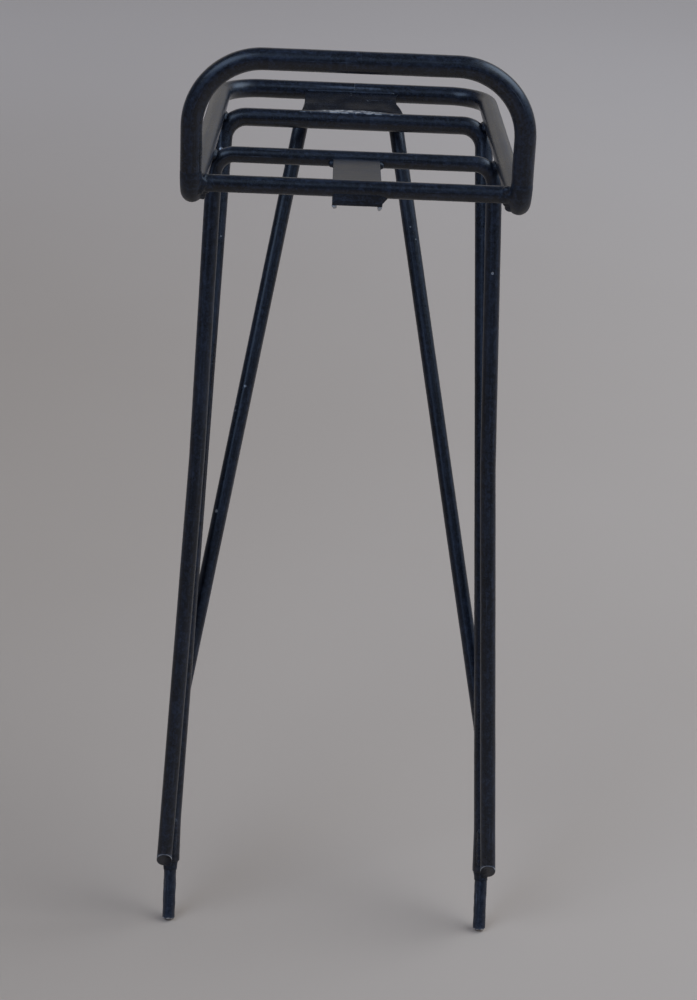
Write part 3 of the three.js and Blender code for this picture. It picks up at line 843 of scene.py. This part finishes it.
def fuse(name, shape, grain, smoothing=3):
    # melts overlapping lumps into one skin, as a weld pool does
    lumps = bpy.data.objects.new(name, toMesh(name, shape))
    bpy.context.scene.collection.objects.link(lumps)
    skin = lumps.modifiers.new("skin", "REMESH")
    skin.mode, skin.voxel_size = "VOXEL", grain * mm
    flow = lumps.modifiers.new("flow", "SMOOTH")
    flow.factor, flow.iterations = 0.5, smoothing
    mesh = settle(lumps)
    bpy.data.objects.remove(lumps)
    wraps = mesh.attributes.new("wrap", "FLOAT_VECTOR", "POINT")
    wraps.data.foreach_set("vector", [value for vertex in mesh.vertices for value in vertex.co])
    return mesh


def addWeld(name, shape, node, rubbedAndSheen=0.0, rusty=0.0, smoothing=3, grain=weld["grain"]):
    mesh = fuse(name, shape, grain, smoothing)
    addPiece(name, mesh, [node], finishes["weldBlack"],
             {"rubbedAndSheen": lambda point: rubbedAndSheen, "rusty": lambda point: rusty}, sharp=70)


crossbarWelds = {  # each lump: across from the bar's end, back and height, then its half sizes
    "left": {"uneven": 0.26, "rubbedAndSheen": 0.34, "smoothing": 6, "lumps": [
        ((0.0, 2.2, -3.6), (2.9, 2.8, 2.6)), ((1.4, 3.0, -6.1), (2.5, 2.7, 2.7)),
        ((0.6, -3.0, 0.6), (3.2, 2.0, 2.8)), ((2.4, -5.0, 1.6), (1.8, 1.6, 2.0)),
        ((-0.4, -0.4, 2.6), (2.2, 2.8, 1.8)), ((1.2, -3.4, -2.2), (2.0, 1.8, 2.1)),
    ]},
    "right": {"uneven": 0.16, "rubbedAndSheen": 0.2, "smoothing": 8, "lumps": [
        ((0.0, 2.2, -3.6), (2.9, 2.8, 2.6)), ((1.4, 3.0, -6.1), (2.5, 2.7, 2.7)),
        ((0.6, -3.0, 0.6), (2.8, 2.1, 3.0)), ((2.4, -5.0, 1.6), (1.8, 1.6, 2.0)),
        ((-0.4, -0.4, 2.6), (2.2, 2.8, 1.8)), ((-0.6, -2.7, 2.5), (2.6, 2.3, 2.4)),
    ]},
}


def sleeve(radius, run, skin=0.05, taper=0.6):
    # a thin skin of weld on a bar that tapers off over the run at both ends
    def radiusAt(distance, length, angle):
        ends = 1 - clamp(min(distance, length - distance) / run)
        return radius + skin - taper * ends ** 2

    return radiusAt


def crossbarWeld(name, side):
    # sleeves on the bar's end and the hoop's foot, and lumps between them, that melt into one fillet
    looks = crossbarWelds[name]
    shape = Shape()
    footArc = []
    for degree in range(-12, 91, 3):
        turn = math.radians(degree)
        back, height = [loop["footBend"] * (1 - part) for part in (math.cos(turn), math.sin(turn))]
        footArc.append(place(side * halfHoop, back, height))
    sweep(shape, footArc, sleeve(loopRadius, 3))
    barEnd = [place(side * (frontBarEnd + past), frontBar["back"], frontBar["height"]) for past in (-6, 1.5)]
    sweep(shape, spaced(barEnd, 0.5), sleeve(rodRadius, 2))
    for index, ((across, back, height), (wide, deep, tall)) in enumerate(looks["lumps"]):
        centre = place(side * (frontBarEnd + across), frontBar["back"] + back, frontBar["height"] + height)
        axes = (Vector((wide, 0, 0)), Vector((0, deep, 0)), Vector((0, 0, tall)))
        seed = 61.0 + side * 4 + index
        blob(shape, centre, axes, seed, lump=looks["uneven"], ripple=0.0, rows=16, facets=24)
    addWeld(name + "CrossbarWeld", shape, name + "_front_crossbar_weld", looks["rubbedAndSheen"],
            smoothing=looks["smoothing"], grain=weld["coarse"])


def shoulderWelds(name, side):
    # lumps between the rail and the bend of each leg arch
    for end, arch, half, back, radius, seed in (
        ("Front", frontArch, frontArchHalf, frontArch["back"], rodRadius, 70.0 + side * 3),
        ("Rear", rearArch, rearArchHalf, rearArchBack, legRadius, 70.0 + side * 7),
    ):
        bendCentre = place(side * (half - arch["bend"]), back, -arch["drop"] - arch["bend"])
        outward = heading(bendCentre, onRail(side, back))
        seat = onRail(side, back) - outward * (loopRadius + stock["gap"] / 2)
        along = Vector((0, radius + weld["shoulderProud"], 0))
        axes = (along, outward.cross(Vector((0, 1, 0))) * weld["shoulder"], outward * weld["shoulder"])
        shape = Shape()
        blob(shape, seat, axes, seed, lump=0.1, ripple=0.02)
        node = name + "_" + end.lower() + "_shoulder_weld"
        addWeld(name + end + "ShoulderWeld", shape, node, smoothing=6)


def strutTopWeld(name, side):
    # a bead round the strut, under the stay plate
    radius = weld["topRing"]
    turns = [2 * math.pi * step / 40 for step in range(40)]
    ring = [strutTop(side) + Vector((radius * math.cos(turn), radius * math.sin(turn), -weld["topSink"]))
            for turn in turns]
    shape = Shape()
    sweep(shape, ring, beadSurface(weld["topBead"], seed=80.0 + side, taper=0), facets=16, closed=True)
    addWeld(name + "StrutTopWeld", shape, name + "_strut_top_weld")


def strutFootWeld(name, side):
    # a bead in the inner valley between strut and rear leg
    reach = strutReach(side)
    seat = Vector((-side * weld["valleySeat"], 0, 0))
    beside = [onRearLeg(side, along) - aheadOfLeg * (legPitch / 2) + seat
              for along in (reach - weld["strutLength"], reach)]
    shape = Shape()
    sweep(shape, spaced(beside, 0.4), beadSurface(weld["valley"], seed=84.0 + side), facets=20)
    addWeld(name + "StrutFootWeld", shape, name + "_strut_foot_weld")


def footWeld(name, side):
    # a bead in the inner valley between the front and rear legs
    foot, knee = frontLeg(side)[0][0], frontLeg(side)[1][0]
    acrossBars = legMeeting(side) - onRearLeg(side, rearArch["legLength"])
    seat = acrossBars.cross(downLeg).normalized() * (-side * weld["valleySeat"])
    between = []
    for rise in (rodRadius, rodRadius + weld["footLength"]):
        onFrontLeg = foot + heading(foot, knee) * (frontArch["footOverhang"] + rise)
        between.append(onFrontLeg.lerp(onRearLeg(side, rearArch["legLength"] - rise), 0.5) + seat)
    shape = Shape()
    sweep(shape, spaced(between, 0.4), beadSurface(weld["valley"], seed=88.0 + side), facets=20)
    addWeld(name + "FootWeld", shape, name + "_foot_weld", rubbedAndSheen=0.1, rusty=0.4)


def pinWeld(name, side):
    # a hollow cone of weld from the leg's end to the pin, with a lump at the front
    legEnd = onRearLeg(side, rearArch["legLength"])
    seed = 92.0 + side

    def collar(distance, length, angle):
        spot = Vector((distance / 2.5 + seed, 1.1 * math.cos(angle), 1.1 * math.sin(angle)))
        slope = 1 - math.sqrt(max(0.0, 1 - (1 - distance / length) ** 2)) if distance < length else 0
        return lerp(pinRadius + 0.1, legRadius - 0.1, slope ** 0.8) + 0.3 * noise.noise(spot)

    shape = Shape()
    sweep(shape, spaced([legEnd - downLeg * 0.4, legEnd + downLeg * weld["collar"]], 0.3), collar)
    centre = legEnd + aheadOfLeg * 3.0 + Vector((side * 0.8, 0, 0)) + downLeg * 0.6
    axes = (downLeg * 2.2, aheadOfLeg * 2.0, Vector((2.4, 0, 0)))
    blob(shape, centre, axes, seed=94.0 + side, lump=0.2, ripple=0.0, rows=16, facets=24)
    addWeld(name + "PinWeld", shape, name + "_pin_weld", rubbedAndSheen=0.1, rusty=0.35)


for name, side in sides.items():
    for addWelds in (crossbarWeld, shoulderWelds, strutTopWeld, strutFootWeld, footWeld, pinWeld):
        addWelds(name, side)


def seamWeld(name, node, offset, half, back, height, radius, seed, ridge=0.14, smoothing=3):
    # a bead along the edge of a plate
    shape = Shape()
    route = spaced([place(offset - half, back, height), place(offset + half, back, height)], 0.4)
    sweep(shape, route, beadSurface(radius, seed, ridge=ridge, lump=ridge), facets=18)
    addWeld(name, shape, node, smoothing=smoothing)


seamWeld("stayPlateFrontWeld", "stay_plate_front_weld", offset=stayPlate["offset"],
         half=stayPlate["width"] / 2, back=rearArchBack + legRadius + weld["seam"],
         height=-rearArch["drop"] - weld["seam"] / 2, radius=weld["seam"], seed=101.0)
seamWeld("stayPlateBackWeld", "stay_plate_back_weld", offset=stayPlate["offset"],
         half=stayPlate["width"] / 2 - 0.6, back=platformDepth - loopRadius + 0.3, height=0.7,
         radius=1.1, seed=102.0, ridge=0.05, smoothing=8)
seamWeld("lampPlateBackWeld", "lamp_plate_back_weld", offset=lampPlate["offset"],
         half=lampPlate["width"] / 2 + 2.3, back=frontArch["back"] - rodRadius - 0.2,
         height=lampBackHeight - 2.1, radius=2.0, seed=103.0)

lipWeld = {  # beads one above another, then horns: start and end height, thickness
    "ahead": 2.33, "radius": 1.4, "rises": (-0.7, 0.1, 0.9, 1.7, 2.5),
    "horns": ((-1.2, 1.2, 1.2), (0.2, 1.6, 1.4), (1.4, 2.0, 1.4)),
}


def horn(thick):  # thins out along its length
    return lambda distance, length, angle: thick * (1 - 0.75 * distance / length)


def addLipWeld():
    # a bank of weld in front of the crossbar that runs out in horns at its right end
    shape = Shape()
    half = Vector((lampPlate["width"] / 2 - 0.1, 0, 0))
    for row, rise in enumerate(lipWeld["rises"]):
        middle = place(lampPlate["offset"], frontBar["back"] - lipWeld["ahead"], lampFrontHeight + rise)
        bead = beadSurface(lipWeld["radius"], seed=104.0 + row, ridge=0.03, lump=0.06, taper=1.2)
        sweep(shape, spaced([middle - half, middle + half], 0.4), bead, facets=18)
    plateSide = lampPlate["offset"] + lampPlate["width"] / 2
    for start, end, thick in lipWeld["horns"]:
        route = [place(plateSide - 1.4, frontBar["back"] - 2.4, lampFrontHeight + start),
                 place(plateSide + 2.0, frontBar["back"] - 2.0, lampFrontHeight + end)]
        sweep(shape, spaced(route, 0.4), horn(thick), facets=18)
    addWeld("lampPlateFrontWeld", shape, "lamp_plate_front_weld", smoothing=8)


addLipWeld()
print("welds made")

# floor, light and camera

# the floor's tones are painted light: shaded at the left, lit at the right and lighter farther back
stage = {"floorSize": 16, "shaded": shade(186, 163, 142), "lit": shade(214, 191, 170),
         "far": shade(240, 218, 200), "lampAim": (0, -0.1, -0.2)}  # sizes here and in lamps are metres


def addFloor():
    height = min(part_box("left_pin")[0].z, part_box("right_pin")[0].z)
    half = stage["floorSize"] / 2
    mesh = bpy.data.meshes.new("floor")
    corners = [(x, y, height) for x, y in ((-half, -half), (half, -half), (half, half), (-half, half))]
    mesh.from_pydata(corners, [], [(0, 1, 2, 3)])
    pale = Surface(bpy.data.materials.new("paleFloor"))
    cloud = pale.noise(3.0, 3.0, 0.5, pale.here)
    across, depth = [pale.node("ShaderNodeSeparateXYZ", {}, {0: pale.here}, axis) for axis in (0, 1)]
    # painted light and shade: darker to the left, lighter to the right and farther back, with a faint random
    # cloud
    tone = pale.mix(pale.step(across, -0.5, 0.5) * 0.8 + 0.2 * cloud, stage["shaded"], stage["lit"])
    tone = pale.mix(pale.step(depth, 0.5, 2.2) * 0.6, tone, stage["far"])
    mesh.materials.append(pale.finish({"Base Color": tone, "Roughness": 0.9, "IOR": 1.3}))
    floor = bpy.data.objects.new("floor", mesh)
    bpy.context.scene.collection.objects.link(floor)


addFloor()

lamps = {  # two windows
    "skylightLeft": {"at": (-1.25, -1.1, 1.7), "size": (1.8, 1.4), "power": 18, "tone": (0.55, 0.73, 1.0)},
    "windowRight": {"at": (1.8, 0.15, 1.6), "size": (2.1, 1.7), "power": 32, "tone": (0.62, 0.78, 1.0)},
}


def addLamp(name, lamp):
    data = bpy.data.lights.new(name, "AREA")
    data.shape, data.size, data.size_y = "RECTANGLE", lamp["size"][0], lamp["size"][1]
    data.energy, data.color = lamp["power"], lamp["tone"]
    light = bpy.data.objects.new(name, data)
    light.location = lamp["at"]
    light.rotation_euler = (Vector(stage["lampAim"]) - light.location).to_track_quat("-Z", "Y").to_euler()
    bpy.context.scene.collection.objects.link(light)


for name, lamp in lamps.items():
    addLamp(name, lamp)

room = {  # tone and strength of each part, laid one over another; the last is what shows past the floor
    "dim": ((0.10, 0.12, 0.17), 1.0),
    "wall": ((1.0, 0.96, 0.92), 0.44),
    "skylight": ((0.5, 0.68, 1.0), 0.56),
    "side": ((0.5, 0.68, 1.0), 0.6),
    "gap": ((0.36, 0.56, 1.0), 1.3),
    "window": ((0.68, 0.82, 1.0), 1.2),
    "beyond": ((0.29, 0.285, 0.29), 1.0),
}


def addWorld():
    # a dim cool room: a pale wall at the back, light from high in front and from the right, and a
    # bright gap at the front left
    sky = Surface(bpy.data.worlds.new("softRoom"))
    toward = sky.node("ShaderNodeTexCoord", {}, {}, "Generated")
    x, y, z = [sky.node("ShaderNodeSeparateXYZ", {}, {0: toward}, axis) for axis in range(3)]
    low = 1 - sky.step(z, 0.45, 0.68)
    wall = sky.step(y, -0.1, 0.5) * sky.step(x, -0.8, -0.5) * low
    window = sky.step(x, 0.22, 0.5) * sky.step(z, 0.42, 0.7)
    skylight = (1 - sky.step(y, -0.35, 0.1)) * sky.step(z, 0.5, 0.66) * (1 - sky.step(z, 0.78, 0.92))
    side = sky.step(x, 0.6, 0.85) * sky.step(z, -0.05, 0.2)
    gap = sky.step(x, -0.7, -0.58) * (1 - sky.step(x, -0.5, -0.38))
    gap = gap * (1 - sky.step(y, -0.4, -0.1)) * sky.step(z, 0.0, 0.15)
    beyond = sky.node("ShaderNodeLightPath", {}, {}, "Is Camera Ray")
    radiance = None
    for share, (tone, strength) in zip((None, wall, skylight, side, gap, window, beyond), room.values()):
        colour = tuple(part * strength for part in tone) + (1.0,)
        radiance = colour if share is None else sky.mix(share, radiance, colour)
    light = sky.node("ShaderNodeBackground", {}, {"Color": radiance, "Strength": 1.0})
    sky.node("ShaderNodeOutputWorld", {}, {"Surface": light})
    bpy.context.scene.world = sky.owner


addWorld()
bpy.context.scene.view_settings.view_transform = "Standard"

view = {"at": (-13.52, -984.70, 275.06), "down": 0.4045, "turn": 0.0166, "roll": 0.0447,  # radians
        "lens": 80.25, "sensor": 36}


def addCamera():
    down, turn, roll = view["down"], view["turn"], view["roll"]
    forward = Vector((math.sin(turn) * math.cos(down), math.cos(turn) * math.cos(down), -math.sin(down)))
    level = Vector((math.cos(turn), -math.sin(turn), 0))
    upright = level.cross(forward)
    right = level * math.cos(roll) + upright * math.sin(roll)
    up = upright * math.cos(roll) - level * math.sin(roll)
    data = bpy.data.cameras.new("camera")
    data.lens, data.sensor_width, data.sensor_fit = view["lens"], view["sensor"], "AUTO"
    camera = bpy.data.objects.new("camera", data)
    turned = Matrix((right, up, -forward)).transposed().to_4x4()
    camera.matrix_world = Matrix.Translation(place(*view["at"]) * mm) @ turned
    bpy.context.scene.collection.objects.link(camera)
    bpy.context.scene.camera = camera


addCamera()
print("floor, light and camera made")
